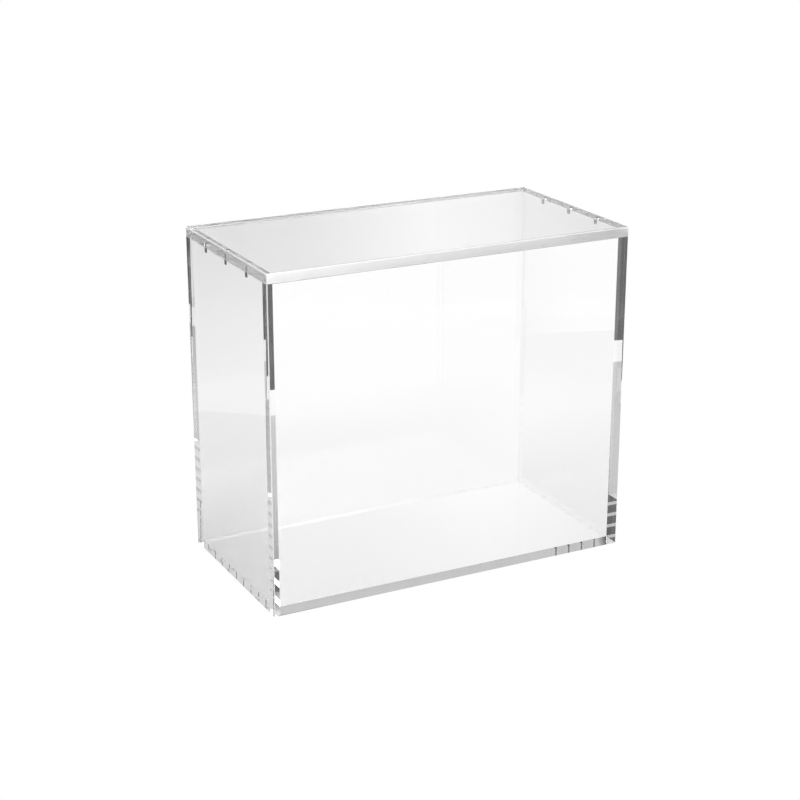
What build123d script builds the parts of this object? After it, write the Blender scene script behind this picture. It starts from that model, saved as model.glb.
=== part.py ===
from build123d import *
import os

# A clear acrylic display case. Four walls and a floor are solvent-welded into an open box. A flat
# lid lies on the rim, flush with the walls outside, and lifts straight off. Three pairs of small
# round magnets at each end hold it: one magnet of a pair in the lid, the other under it in the top
# edge of the end wall.
#
# Millimetres. The origin is the middle of the footprint, on the surface that the case stands on.
# +Z is up, +X runs along the long side and -Y faces the front panel.

# Outside of the closed case
CASE_WIDTH = 235.0
CASE_DEPTH = 122.0
CASE_HEIGHT = 205.0

# Sheet thicknesses
LONG_WALL = 6.0
END_WALL = 5.0
LID = 6.0
FLOOR = 4.0

# Flat scraped along the upright corners and round the lid
ARRIS = 0.5

# Magnets, and the blind pockets that they are glued into
MAGNETS_PER_END = 3
MAGNET_DIAMETER = 3.0
MAGNET_LENGTH = 3.0
MAGNET_ARRIS = 0.2
POCKET_CLEARANCE = 0.05
MAGNET_RECESS = 0.1

# Sizes that follow from these
RIM = CASE_HEIGHT - LID
INNER_WIDTH = CASE_WIDTH - 2 * END_WALL
INNER_DEPTH = CASE_DEPTH - 2 * LONG_WALL
END_WALL_MIDDLE = (CASE_WIDTH - END_WALL) / 2
MAGNET_PITCH = CASE_DEPTH / (MAGNETS_PER_END + 1)
POCKET_RADIUS = MAGNET_DIAMETER / 2 + POCKET_CLEARANCE
POCKET_DEPTH = MAGNET_LENGTH + MAGNET_RECESS

FRONT, BACK = -1, 1
LEFT, RIGHT = -1, 1
END_NAMES = {LEFT: "left", RIGHT: "right"}
ROW_NAMES = ("front", "middle", "back")

STANDING = (Align.CENTER, Align.MIN)


def magnet_spots(end):
    """The magnet axes at one end of the case, from front to back."""
    first = -MAGNET_PITCH * (MAGNETS_PER_END - 1) / 2
    return [(end * END_WALL_MIDDLE, first + row * MAGNET_PITCH) for row in range(MAGNETS_PER_END)]


def export(piece, name):
    piece.part.label = name
    export_step(piece.part, f"parts/{name}.step")


def floor_panel():
    """The floor, inside all four walls and level with their lower edges."""
    with BuildPart() as floor:
        with BuildSketch(Plane.XY):
            Rectangle(INNER_WIDTH, INNER_DEPTH)
        extrude(amount=FLOOR)
    return floor


def long_wall(side):
    """The front or the back panel. It runs the whole width and covers the ends of the end walls."""
    outside = Plane(origin=(0, side * CASE_DEPTH / 2, 0), x_dir=(-side, 0, 0), z_dir=(0, side, 0))
    with BuildPart() as wall:
        with BuildSketch(outside):
            Rectangle(CASE_WIDTH, RIM, align=STANDING)
        extrude(amount=-LONG_WALL)
        outer_face = wall.faces().sort_by(Axis.Y)[0 if side == FRONT else -1]
        upright_edges = outer_face.edges().filter_by(Axis.Z)
        chamfer(upright_edges, ARRIS)
    return wall


def end_wall(end):
    """The left or the right panel, between the long walls, with a row of pockets in its top edge."""
    outside = Plane(origin=(end * CASE_WIDTH / 2, 0, 0), x_dir=(0, end, 0), z_dir=(end, 0, 0))
    with BuildPart() as wall:
        with BuildSketch(outside):
            Rectangle(INNER_DEPTH, RIM, align=STANDING)
        extrude(amount=-END_WALL)
        with BuildSketch(Plane.XY.offset(RIM)):
            with Locations(*magnet_spots(end)):
                Circle(POCKET_RADIUS)
        extrude(amount=-POCKET_DEPTH, mode=Mode.SUBTRACT)
    return wall


def lid_panel():
    """The lid, flush with the walls outside, with a row of pockets at each end of its underside."""
    with BuildPart() as lid:
        with BuildSketch(Plane.XY.offset(RIM)):
            Rectangle(CASE_WIDTH, CASE_DEPTH)
        extrude(amount=LID)
        chamfer(lid.edges(), ARRIS)
        with BuildSketch(Plane.XY.offset(RIM)):
            with Locations(*magnet_spots(LEFT), *magnet_spots(RIGHT)):
                Circle(POCKET_RADIUS)
        extrude(amount=POCKET_DEPTH, mode=Mode.SUBTRACT)
    return lid


def magnet(spot, lower_end):
    """One plated disc magnet on an upright axis, with its edges broken."""
    with BuildPart() as disc:
        with BuildSketch(Plane.XY.offset(lower_end)):
            with Locations(spot):
                Circle(MAGNET_DIAMETER / 2)
        extrude(amount=MAGNET_LENGTH)
        rims = disc.edges().filter_by(GeomType.CIRCLE)
        chamfer(rims, MAGNET_ARRIS)
    return disc


os.makedirs("parts", exist_ok=True)

export(floor_panel(), "floor_panel")
export(long_wall(FRONT), "front_panel")
export(long_wall(BACK), "back_panel")
export(end_wall(LEFT), "left_panel")
export(end_wall(RIGHT), "right_panel")
export(lid_panel(), "lid_panel")

# Each magnet touches the blind end of its pocket and stops short of the face that meets its pair.
LID_MAGNET_LOWER_END = RIM + MAGNET_RECESS
WALL_MAGNET_LOWER_END = RIM - POCKET_DEPTH
for end, end_name in END_NAMES.items():
    for row_name, spot in zip(ROW_NAMES, magnet_spots(end)):
        export(magnet(spot, LID_MAGNET_LOWER_END), f"lid_magnet_{end_name}_{row_name}")
        export(magnet(spot, WALL_MAGNET_LOWER_END), f"wall_magnet_{end_name}_{row_name}")
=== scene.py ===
import math

import bmesh
import bpy
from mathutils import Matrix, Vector


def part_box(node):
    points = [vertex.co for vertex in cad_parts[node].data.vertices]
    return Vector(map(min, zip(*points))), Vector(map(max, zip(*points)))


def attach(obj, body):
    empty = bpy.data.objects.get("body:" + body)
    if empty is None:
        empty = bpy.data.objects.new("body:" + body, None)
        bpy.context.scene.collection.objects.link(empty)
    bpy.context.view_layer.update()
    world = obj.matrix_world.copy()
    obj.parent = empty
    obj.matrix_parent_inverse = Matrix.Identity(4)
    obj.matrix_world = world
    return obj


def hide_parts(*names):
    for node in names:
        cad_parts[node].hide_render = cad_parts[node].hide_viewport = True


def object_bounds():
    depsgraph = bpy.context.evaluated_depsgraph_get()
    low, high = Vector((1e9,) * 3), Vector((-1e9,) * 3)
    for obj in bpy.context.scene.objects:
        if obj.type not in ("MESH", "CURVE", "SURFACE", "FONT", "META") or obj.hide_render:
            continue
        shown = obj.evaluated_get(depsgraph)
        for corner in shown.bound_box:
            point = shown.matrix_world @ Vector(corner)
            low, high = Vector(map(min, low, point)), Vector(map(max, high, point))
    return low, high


# A clear acrylic display case: six sheets and twelve small disc magnets. The sheets refract for real,
# so their edges carry light along inside, as the edges of real sheet do. The floor is bonded clear to all
# four walls, and the back to both ends. The front sheet meets the end walls, and the lid the rim, across a
# thin film of air.

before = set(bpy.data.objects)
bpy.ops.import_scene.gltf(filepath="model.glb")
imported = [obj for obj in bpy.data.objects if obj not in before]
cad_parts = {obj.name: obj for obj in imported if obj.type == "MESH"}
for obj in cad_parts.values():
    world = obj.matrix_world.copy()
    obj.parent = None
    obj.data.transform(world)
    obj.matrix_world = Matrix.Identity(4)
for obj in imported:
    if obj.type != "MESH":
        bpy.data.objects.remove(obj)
CAD_LOW, CAD_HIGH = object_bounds()

X, Y, Z = 0, 1, 2

# ---------------------------------------------------------------- dimensions, in metres
FLOOR_LOW, FLOOR_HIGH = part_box("floor_panel")
LID_LOW, LID_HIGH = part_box("lid_panel")
ARRIS = 0.0005
FILM = 0.00002
TOLERANCE = 0.000001
POCKET_CLEARANCE = 0.00005
POCKET_SEGMENTS = 48
CUTTER_OVERSHOOT = 0.001
MAGNET_SEGMENTS = 48
MAGNET_ROUND = 0.00025
MAGNET_ROUND_STEPS = 4

ENDS = ("left", "right")
ROWS = ("front", "middle", "back")
BODY_OF_MAGNET = {"lid": "lid", "wall": "case"}

# Places in a sheet's list of materials. A face that isn't painted keeps place 0, the polished sheet.
SAWN, BUFFED, SCRAPED, BOND = range(1, 5)

# A bonded joint has a face on each of its two sheets.
JOINT_FACES = 2


# ---------------------------------------------------------------- node helpers
def add_node(tree, kind, settings=None, inputs=None):
    """A new node with its settings, and with values or links on its inputs."""
    node = tree.nodes.new(kind)
    for name, value in (settings or {}).items():
        setattr(node, name, value)
    for name, value in (inputs or {}).items():
        if isinstance(value, bpy.types.NodeSocket):
            tree.links.new(value, node.inputs[name])
        else:
            node.inputs[name].default_value = value
    return node


def ramp(tree, source, low, high, stops):
    """Grey from stops of (value of source, brightness), between the source values low and high."""
    scaled = add_node(tree, "ShaderNodeMapRange", inputs={0: source, 1: low, 2: high})
    node = add_node(tree, "ShaderNodeValToRGB", inputs={0: scaled.outputs[0]})
    points = node.color_ramp.elements
    while len(points) < len(stops):
        points.new(0.5)
    for point, (value, grey) in zip(points, stops):
        point.position = (value - low) / (high - low)
        point.color = (grey, grey, grey, 1.0)
    return node.outputs[0]


def arithmetic(tree, operation, first, second):
    return add_node(tree, "ShaderNodeMath", {"operation": operation}, {0: first, 1: second}).outputs[0]


def at_least(tree, count, times):
    """1 for a ray whose count of this kind has reached this many times, 0 otherwise."""
    path = add_node(tree, "ShaderNodeLightPath")
    return arithmetic(tree, "GREATER_THAN", path.outputs[count], times - 0.5)


def reflected(tree, times):
    return at_least(tree, "Glossy Depth", times)


def blend(tree, chooser, first, second):
    return add_node(tree, "ShaderNodeMixShader", inputs={0: chooser, 1: first, 2: second}).outputs[0]


def through_a_joint(tree):
    """1 for a ray that has crossed one bonded joint and has come to a second, 0 otherwise."""
    return at_least(tree, "Transparent Depth", JOINT_FACES + 1)


def position(tree, space="Object"):
    return add_node(tree, "ShaderNodeTexCoord").outputs[space]


# ---------------------------------------------------------------- materials
ACRYLIC_IOR = 1.49
NOISE_LOW = 0.3
NOISE_HIGH = 0.7
HAIRLINES = [(0.72, 0.0), (0.76, 0.006), (0.8, 0.01)]
SATIN_SPREAD = 0.05


def new_material(name):
    material = bpy.data.materials.new(name)
    material.use_nodes = True
    return material, material.node_tree, material.node_tree.nodes["Principled BSDF"]


def new_acrylic(name, clarity):
    material, tree, shader = new_material(name)
    shader.inputs["IOR"].default_value = ACRYLIC_IOR
    shader.inputs["Transmission Weight"].default_value = clarity
    return material, tree, shader


def noise(tree, scale, detail, stretch=(1.0, 1.0, 1.0)):
    """Even noise from 0 to 1 in object space, with scale in features per metre."""
    placed = add_node(tree, "ShaderNodeMapping", inputs={0: position(tree), 3: stretch})
    return add_node(
        tree, "ShaderNodeTexNoise", inputs={"Vector": placed.outputs[0], "Scale": scale, "Detail": detail}
    ).outputs[0]


def spread(tree, source, low, high):
    """Values from low to high, for noise from NOISE_LOW to NOISE_HIGH."""
    limits = {1: NOISE_LOW, 2: NOISE_HIGH, 3: low, 4: high}
    return add_node(tree, "ShaderNodeMapRange", inputs={0: source, **limits}).outputs[0]


def tint(tree, source, darkest, lightest=1.0):
    """Grey from darkest to lightest, for noise from NOISE_LOW to NOISE_HIGH."""
    return ramp(tree, source, 0, 1, [(NOISE_LOW, darkest), (NOISE_HIGH, lightest)])


def bump(tree, height, depth):
    """Relief of this depth in metres, from a height between 0 and 1."""
    relief = {"Height": height, "Distance": depth, "Strength": 1.0}
    return add_node(tree, "ShaderNodeBump", inputs=relief).outputs[0]


def finish_material(tree, shader, colour, roughness, normal):
    tree.links.new(colour, shader.inputs["Base Color"])
    tree.links.new(roughness, shader.inputs["Roughness"])
    tree.links.new(normal, shader.inputs["Normal"])


def clear_acrylic():
    """Cast sheet: its faces wave faintly, and wiping has left a few dull hairlines in the polish."""
    material, tree, shader = new_acrylic("clear_acrylic", clarity=1.0)
    waves = noise(tree, scale=22.0, detail=1.0)
    wiped = noise(tree, scale=160.0, detail=2.0, stretch=(1.0, 0.08, 0.35))
    hairlines = ramp(tree, wiped, 0, 1, HAIRLINES)
    finish_material(tree, shader, tint(tree, waves, 0.999), hairlines, bump(tree, waves, depth=0.000001))
    return material


def edge_acrylic(name, satin, clarity):
    """An edge of the lid, crossed by the close marks of a fine saw. Satin is its least roughness."""
    material, tree, shader = new_acrylic(name, clarity)
    parts = add_node(tree, "ShaderNodeSeparateXYZ", inputs={0: position(tree)})
    along = arithmetic(tree, "ADD", parts.outputs[X], parts.outputs[Y])
    line = add_node(tree, "ShaderNodeCombineXYZ", inputs={0: along, 2: parts.outputs[Z]})
    marks = add_node(tree, "ShaderNodeMapping", inputs={0: line.outputs[0], 3: (1.0, 1.0, 0.12)})
    saw = add_node(
        tree, "ShaderNodeTexNoise", inputs={"Vector": marks.outputs[0], "Scale": 1600.0, "Detail": 3.0}
    ).outputs[0]
    roughness = spread(tree, saw, satin, satin + SATIN_SPREAD)
    finish_material(tree, shader, tint(tree, saw, 0.985), roughness, bump(tree, saw, depth=0.000001))
    return material


def scraped_acrylic():
    """The white matt line, with a little chatter, where a scraper has broken a sharp edge."""
    material, tree, shader = new_acrylic("scraped_acrylic", clarity=0.3)
    chatter = noise(tree, scale=900.0, detail=3.0)
    roughness = spread(tree, chatter, 0.4, 0.6)
    finish_material(tree, shader, tint(tree, chatter, 0.93), roughness, bump(tree, chatter, depth=0.00003))
    return material


def clear_bond():
    """The solvent joint between two sheets, which light crosses as if they were one."""
    material, tree, shader = new_material("clear_bond")
    tree.nodes.remove(shader)
    cured = tint(tree, noise(tree, scale=120.0, detail=2.0), 0.985)
    passing = add_node(tree, "ShaderNodeBsdfTransparent", inputs={0: cured})
    tree.links.new(passing.outputs[0], tree.nodes["Material Output"].inputs[0])
    return material


def nickel_plate():
    """Dull nickel plating, with the fine grain of a tumbled magnet."""
    material, tree, shader = new_material("nickel_plate")
    shader.inputs["Metallic"].default_value = 1.0
    grain = noise(tree, scale=2500.0, detail=4.0)
    roughness = spread(tree, grain, 0.24, 0.42)
    finish_material(tree, shader, tint(tree, grain, 0.08, 0.13), roughness, bump(tree, grain, depth=0.000006))
    return material


SHEET_MATERIALS = (
    clear_acrylic(),
    edge_acrylic("sawn_acrylic", satin=0.32, clarity=0.8),
    edge_acrylic("buffed_acrylic", satin=0.08, clarity=0.82),
    scraped_acrylic(),
    clear_bond(),
)
NICKEL = nickel_plate()


# ---------------------------------------------------------------- mesh helpers
def mesh_object(name, mesh_data, materials):
    mesh = bpy.data.meshes.new(name)
    mesh_data.to_mesh(mesh)
    mesh_data.free()
    for material in materials:
        mesh.materials.append(material)
    piece = bpy.data.objects.new(name, mesh)
    bpy.context.scene.collection.objects.link(piece)
    return piece


def on_plane(points, axis, value):
    return all(abs(point[axis] - value) < TOLERANCE for point in points)


def block(low, high):
    made = bmesh.new()
    bmesh.ops.create_cube(made, size=1.0)
    for vertex in made.verts:
        vertex.co = Vector(low[i] if vertex.co[i] < 0 else high[i] for i in range(3))
    return made


def break_edges(made, pairs):
    """Scrapes an arris along each edge that lies on both planes of a pair."""
    chosen = [
        edge
        for edge in made.edges
        if any(all(on_plane([v.co for v in edge.verts], *plane) for plane in pair) for pair in pairs)
    ]
    if not chosen:
        return
    bmesh.ops.bevel(
        made, geom=chosen, offset=ARRIS, segments=1, profile=0.5, affect="EDGES", material=SCRAPED
    )


def split(made, axis, value):
    """Divides the faces that cross a plane, so that a joint's outline is an edge."""
    normal = Vector((0.0, 0.0, 0.0))
    normal[axis] = 1.0
    bmesh.ops.bisect_plane(
        made,
        geom=made.verts[:] + made.edges[:] + made.faces[:],
        dist=TOLERANCE,
        plane_co=normal * value,
        plane_no=normal,
    )


def paint(made, kind, axis, value, low=None, high=None):
    """Gives a material to the faces on a plane, where their middles are between low and high."""
    for face in made.faces:
        middle = face.calc_center_median()
        if not on_plane([v.co for v in face.verts], axis, value):
            continue
        if low is not None and any(middle[i] < low[i] - TOLERANCE for i in range(3)):
            continue
        if high is not None and any(middle[i] > high[i] + TOLERANCE for i in range(3)):
            continue
        face.material_index = kind


def middle_of(low, high):
    return (low + high) / 2


def magnet_boxes(place, ends):
    return [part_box(f"{place}_magnet_{end}_{row}") for end in ends for row in ROWS]


def cut_pockets(piece, boxes, mouth):
    """Cuts a blind round pocket for each magnet box, open at the height mouth."""
    cutter = bmesh.new()
    for low, high in boxes:
        radius = (high[X] - low[X]) / 2 + POCKET_CLEARANCE
        blind_end = high[Z] if mouth < low[Z] else low[Z]
        past_mouth = mouth + math.copysign(CUTTER_OVERSHOOT, mouth - blind_end)
        made = bmesh.ops.create_cone(
            cutter,
            cap_ends=True,
            segments=POCKET_SEGMENTS,
            radius1=radius,
            radius2=radius,
            depth=abs(past_mouth - blind_end),
        )
        middle = middle_of(low, high)
        middle[Z] = (blind_end + past_mouth) / 2
        bmesh.ops.translate(cutter, verts=made["verts"], vec=middle)
    tool = mesh_object("pocket_cutter", cutter, SHEET_MATERIALS)
    cut = piece.modifiers.new("pockets", "BOOLEAN")
    cut.operation = "DIFFERENCE"
    cut.solver = "EXACT"
    cut.object = tool
    bpy.context.view_layer.update()
    graph = bpy.context.evaluated_depsgraph_get()
    cut_mesh = bpy.data.meshes.new_from_object(piece.evaluated_get(graph))
    piece.modifiers.clear()
    piece.data = cut_mesh
    bpy.data.objects.remove(tool)


def hand_over(piece, body, node):
    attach(piece, body)
    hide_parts(node)


# ---------------------------------------------------------------- the sheets
def finish_sheet(made, body, node, pockets=(), mouth=0.0):
    """Hands a sheet over with its pockets cut. It casts no shadow, because it is clear."""
    piece = mesh_object(f"clear_{node}", made, SHEET_MATERIALS)
    if pockets:
        cut_pockets(piece, pockets, mouth)
    piece.visible_shadow = False
    hand_over(piece, body, node)


def make_long_wall(node, outer):
    """The front or the back sheet, which covers the ends of the others."""
    low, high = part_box(node)
    inner = high[Y] if outer == low[Y] else low[Y]
    high[Z] -= FILM
    made = block(low, high)
    for end in (low[X], high[X]):
        split(made, X, math.copysign(FLOOR_HIGH[X], end))
    split(made, Z, FLOOR_HIGH[Z])
    floor_joint_low = Vector((FLOOR_LOW[X], inner, 0.0))
    floor_joint_high = Vector((FLOOR_HIGH[X], inner, FLOOR_HIGH[Z]))
    paint(made, BOND, Y, inner, floor_joint_low, floor_joint_high)
    if node == "back_panel":
        paint(made, BOND, Y, inner, high=Vector((FLOOR_LOW[X], inner, high[Z])))
        paint(made, BOND, Y, inner, low=Vector((FLOOR_HIGH[X], inner, 0.0)))
    break_edges(made, [((Y, outer), (X, low[X])), ((Y, outer), (X, high[X]))])
    finish_sheet(made, "case", node)


def make_end_wall(end, outer):
    """The left or the right sheet, between the front and the back. Only its back edge is bonded."""
    node = f"{end}_panel"
    low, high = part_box(node)
    inner = high[X] if outer == low[X] else low[X]
    low[Y] += FILM
    high[Y] -= FILM
    high[Z] -= FILM
    made = block(low, high)
    split(made, Z, FLOOR_HIGH[Z])
    paint(made, BOND, X, inner, high=Vector((inner, high[Y], FLOOR_HIGH[Z])))
    paint(made, BOND, Y, high[Y])
    finish_sheet(made, "case", node, magnet_boxes("wall", (end,)), high[Z])


def make_floor_sheet():
    low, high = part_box("floor_panel")
    inset = Vector((FILM, FILM, 0.0))
    low += inset
    high -= inset
    made = block(low, high)
    for axis in (X, Y):
        for corner in (low, high):
            paint(made, BOND, axis, corner[axis])
    finish_sheet(made, "case", "floor_panel")


def make_lid():
    made = block(LID_LOW, LID_HIGH)
    planes = [(axis, corner[axis]) for axis in range(3) for corner in (LID_LOW, LID_HIGH)]
    for axis, value in planes:
        if axis == X:
            paint(made, BUFFED, axis, value)
        if axis == Y:
            paint(made, SAWN, axis, value)
    break_edges(made, [(a, b) for a in planes for b in planes if a[0] < b[0]])
    finish_sheet(made, "lid", "lid_panel", magnet_boxes("lid", ENDS), LID_LOW[Z])


# ---------------------------------------------------------------- the magnets
def magnet_profile(radius, length):
    """Half of a disc's outline, from the middle of its lower face to the middle of its upper face."""
    quarter = math.pi / 2
    straight = radius - MAGNET_ROUND
    steps = [quarter * step / MAGNET_ROUND_STEPS for step in range(MAGNET_ROUND_STEPS + 1)]
    lower = [(straight + MAGNET_ROUND * math.sin(a), MAGNET_ROUND * (1 - math.cos(a))) for a in steps]
    upper = [(r, length - z) for r, z in reversed(lower)]
    return [(0.0, 0.0)] + lower + upper + [(0.0, length)]


def make_magnet(node, body):
    low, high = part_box(node)
    disc = bmesh.new()
    profile = magnet_profile((high[X] - low[X]) / 2, high[Z] - low[Z])
    line = [disc.verts.new((radius, 0.0, height)) for radius, height in profile]
    edges = [disc.edges.new(pair) for pair in zip(line, line[1:])]
    bmesh.ops.spin(
        disc,
        geom=line + edges,
        cent=(0.0, 0.0, 0.0),
        axis=(0.0, 0.0, 1.0),
        angle=2 * math.pi,
        steps=MAGNET_SEGMENTS,
        use_merge=True,
    )
    bmesh.ops.remove_doubles(disc, verts=disc.verts, dist=TOLERANCE)
    bmesh.ops.recalc_face_normals(disc, faces=disc.faces)
    foot = middle_of(low, high)
    foot[Z] = low[Z]
    bmesh.ops.translate(disc, verts=disc.verts, vec=foot)
    piece = mesh_object(f"plated_{node}", disc, [NICKEL])
    piece.data.shade_smooth()
    hand_over(piece, body, node)


make_long_wall("front_panel", CAD_LOW[Y])
make_long_wall("back_panel", CAD_HIGH[Y])
make_end_wall("left", CAD_LOW[X])
make_end_wall("right", CAD_HIGH[X])
make_floor_sheet()
make_lid()
for place, body in BODY_OF_MAGNET.items():
    for end in ENDS:
        for row in ROWS:
            make_magnet(f"{place}_magnet_{end}_{row}", body)

# ---------------------------------------------------------------- studio
# Straight through the sheets, the table and the room are the same plain white. A ray that has been
# reflected once sees the sheen of the studio: a window above, and pale walls below, and the table with
# painted light that grows towards the right and a painted contact shadow round and under the case. A ray
# that has been reflected more often has run along inside a sheet, and sees a bright room above, a dark one
# below and the table with a painted shadow towards the front left inside a plain white border. If it has
# also been through bonded joints, the room is as bright as the number of reflections says, and a flag at
# each side holds the light back.
ROOM_WHITE = 1.0

# Brightness by how far a ray heads to the right, from -1 to 1, or by how far it heads up.
WINDOW = [(-0.2, 0.5), (0.36, 0.47), (0.40, 0.6), (0.46, 0.98), (0.49, 0.9), (0.54, 0.6), (0.8, 0.5)]
PALE_WALLS = [(-0.52, 1.0), (-0.44, 0.0), (-0.25, 0.0), (0.0, 1.0)]
LOW_WALL_BY_UP = [(-0.32, 0.72), (-0.25, 0.22)]

# Brightness by how far a ray heads to either side, from 0 to 1.
BRIGHT_ROOM = [(0.3, 4.0), (0.38, 2.4), (0.46, 0.95), (0.52, 0.72)]
DARK_ROOM = [(0.3, 0.1), (0.36, 0.05), (0.41, 0.05), (0.5, 0.11)]
SIDE_FLAG = [(0.5125, 1.0), (0.5145, 0.2)]

# Brightness by the number of reflections.
MOST_COUNTED = 40
CARRIED = [(7, 0.12), (8, 0.6), (17, 0.6), (20, 0.82)]

# The table's painted light and shade by place in metres: a painted contact shadow by the gap to the case,
# painted light by the place across, and a painted shadow by across plus back.
PAINTED_CONTACT_SHADOW = [(0.0, 0.05), (0.12, 1.0)]
PAINTED_LIGHT_ACROSS = [(-0.25, 0.5), (-0.05, 0.6), (0.1, 0.95)]
PAINTED_SHADOW_DIAGONAL = [(-0.3, 0.2), (-0.1, 0.36), (0.1, 0.58), (0.3, 0.62)]
TABLE_RADIUS = 0.36
TABLE_BORDER = 0.055
TABLE_DROP = 0.0002
TABLE_SIDES = 128

LAMP_POWER = 2
LAMP_SIZE = 0.8
LAMP_HEIGHT = 1.2


def backdrop(tree, grey):
    return add_node(tree, "ShaderNodeBackground", inputs={0: grey}).outputs[0]


def make_world():
    world = bpy.data.worlds.new("studio")
    bpy.context.scene.world = world
    world.use_nodes = True
    tree = world.node_tree
    tree.nodes.clear()
    parts = add_node(tree, "ShaderNodeSeparateXYZ", inputs={0: position(tree, "Generated")})
    across = parts.outputs[X]
    up = parts.outputs[Z]
    above = arithmetic(tree, "GREATER_THAN", up, 0.0)
    room = backdrop(tree, (ROOM_WHITE, ROOM_WHITE, ROOM_WHITE, 1.0))
    upper = backdrop(tree, ramp(tree, across, -1, 1, WINDOW))
    pale_walls = ramp(tree, across, -1, 1, PALE_WALLS)
    low_wall = ramp(tree, up, -1, 1, LOW_WALL_BY_UP)
    lower = backdrop(tree, arithmetic(tree, "MAXIMUM", pale_walls, low_wall))
    sheen = blend(tree, above, lower, upper)
    sideways = arithmetic(tree, "ABSOLUTE", across, 0.0)
    bright = backdrop(tree, ramp(tree, sideways, 0, 1, BRIGHT_ROOM))
    dark = backdrop(tree, ramp(tree, sideways, 0, 1, DARK_ROOM))
    turns = add_node(tree, "ShaderNodeLightPath").outputs["Glossy Depth"]
    carried = ramp(tree, turns, 0, MOST_COUNTED, CARRIED)
    flag = ramp(tree, sideways, 0, 1, SIDE_FLAG)
    jointed = backdrop(tree, arithmetic(tree, "MULTIPLY", carried, flag))
    inner = blend(tree, through_a_joint(tree), blend(tree, above, dark, bright), jointed)
    mirrored = blend(tree, reflected(tree, 2), sheen, inner)
    surface = blend(tree, reflected(tree, 1), room, mirrored)
    add_node(tree, "ShaderNodeOutputWorld", inputs={0: surface})


def glow(tree, grey):
    return add_node(tree, "ShaderNodeEmission", inputs={0: grey}).outputs[0]


def make_table():
    disc = bmesh.new()
    bmesh.ops.create_circle(disc, cap_ends=True, segments=TABLE_SIDES, radius=TABLE_RADIUS)
    bmesh.ops.translate(disc, verts=disc.verts, vec=(0.0, 0.0, -TABLE_DROP))
    material, tree, shader = new_material("pale_table")
    tree.nodes.remove(shader)
    place = position(tree)
    parts = add_node(tree, "ShaderNodeSeparateXYZ", inputs={0: place})
    distance = add_node(tree, "ShaderNodeVectorMath", {"operation": "LENGTH"}, {0: place}).outputs["Value"]
    aside = add_node(tree, "ShaderNodeVectorMath", {"operation": "ABSOLUTE"}, {0: place}).outputs[0]
    clear_of = add_node(tree, "ShaderNodeVectorMath", {"operation": "SUBTRACT"}, {0: aside, 1: CAD_HIGH})
    gaps = add_node(tree, "ShaderNodeSeparateXYZ", inputs={0: clear_of.outputs[0]})
    gap = arithmetic(tree, "MAXIMUM", gaps.outputs[X], gaps.outputs[Y])
    # Painted contact shadow: the table darkens round and under the case, seen only in reflections.
    contact_shadow_paint = ramp(tree, gap, -0.1, 0.2, PAINTED_CONTACT_SHADOW)
    # Painted light: seen after one reflection, the table grows brighter towards the right.
    light_paint = ramp(tree, parts.outputs[X], -0.5, 0.5, PAINTED_LIGHT_ACROSS)
    once = glow(tree, arithmetic(tree, "MULTIPLY", light_paint, contact_shadow_paint))
    # Painted shadow: seen after more reflections, the table darkens towards the front left, inside a plain
    # white border.
    diagonal = arithmetic(tree, "ADD", parts.outputs[X], parts.outputs[Y])
    shadow_paint = glow(tree, ramp(tree, diagonal, -0.5, 0.5, PAINTED_SHADOW_DIAGONAL))
    border = arithmetic(tree, "GREATER_THAN", distance, TABLE_RADIUS - TABLE_BORDER)
    often = blend(tree, border, shadow_paint, glow(tree, (1.0, 1.0, 1.0, 1.0)))
    mirrored = blend(tree, reflected(tree, 2), once, often)
    direct = glow(tree, (ROOM_WHITE, ROOM_WHITE, ROOM_WHITE, 1.0))
    surface = blend(tree, reflected(tree, 1), direct, mirrored)
    tree.links.new(surface, tree.nodes["Material Output"].inputs[0])
    mesh_object("pale_table", disc, [material])


def make_light():
    light = bpy.data.lights.new("overhead", "AREA")
    light.energy = LAMP_POWER
    light.size = LAMP_SIZE
    lamp = bpy.data.objects.new("overhead", light)
    bpy.context.scene.collection.objects.link(lamp)
    lamp.location = (0, 0, LAMP_HEIGHT)


make_world()
make_table()
make_light()

# ---------------------------------------------------------------- camera
CAMERA_AZIMUTH = math.radians(-27.2)
CAMERA_ELEVATION = math.radians(19.2)
CAMERA_DISTANCE = 1.124
CAMERA_TARGET = Vector((-0.0048, 0.0, 0.0961))
CAMERA_LENS = 82.2
CAMERA_SENSOR = 36.0
MOST_BOUNCES = 64


def make_camera():
    camera = bpy.data.cameras.new("camera")
    camera.lens = CAMERA_LENS
    camera.sensor_width = CAMERA_SENSOR
    eye = bpy.data.objects.new("camera", camera)
    bpy.context.scene.collection.objects.link(eye)
    level = math.cos(CAMERA_ELEVATION)
    away = Vector(
        (math.sin(CAMERA_AZIMUTH) * level, -math.cos(CAMERA_AZIMUTH) * level, math.sin(CAMERA_ELEVATION))
    )
    eye.location = CAMERA_TARGET + away * CAMERA_DISTANCE
    eye.rotation_euler = away.to_track_quat("Z", "Y").to_euler()
    bpy.context.scene.camera = eye


make_camera()
scene = bpy.context.scene
scene.view_settings.view_transform = "Standard"
scene.cycles.max_bounces = MOST_BOUNCES
scene.cycles.transmission_bounces = MOST_BOUNCES
scene.cycles.glossy_bounces = MOST_BOUNCES
scene.cycles.transparent_max_bounces = MOST_BOUNCES
scene.cycles.caustics_reflective = False
scene.cycles.caustics_refractive = False
scene.cycles.use_denoising = True
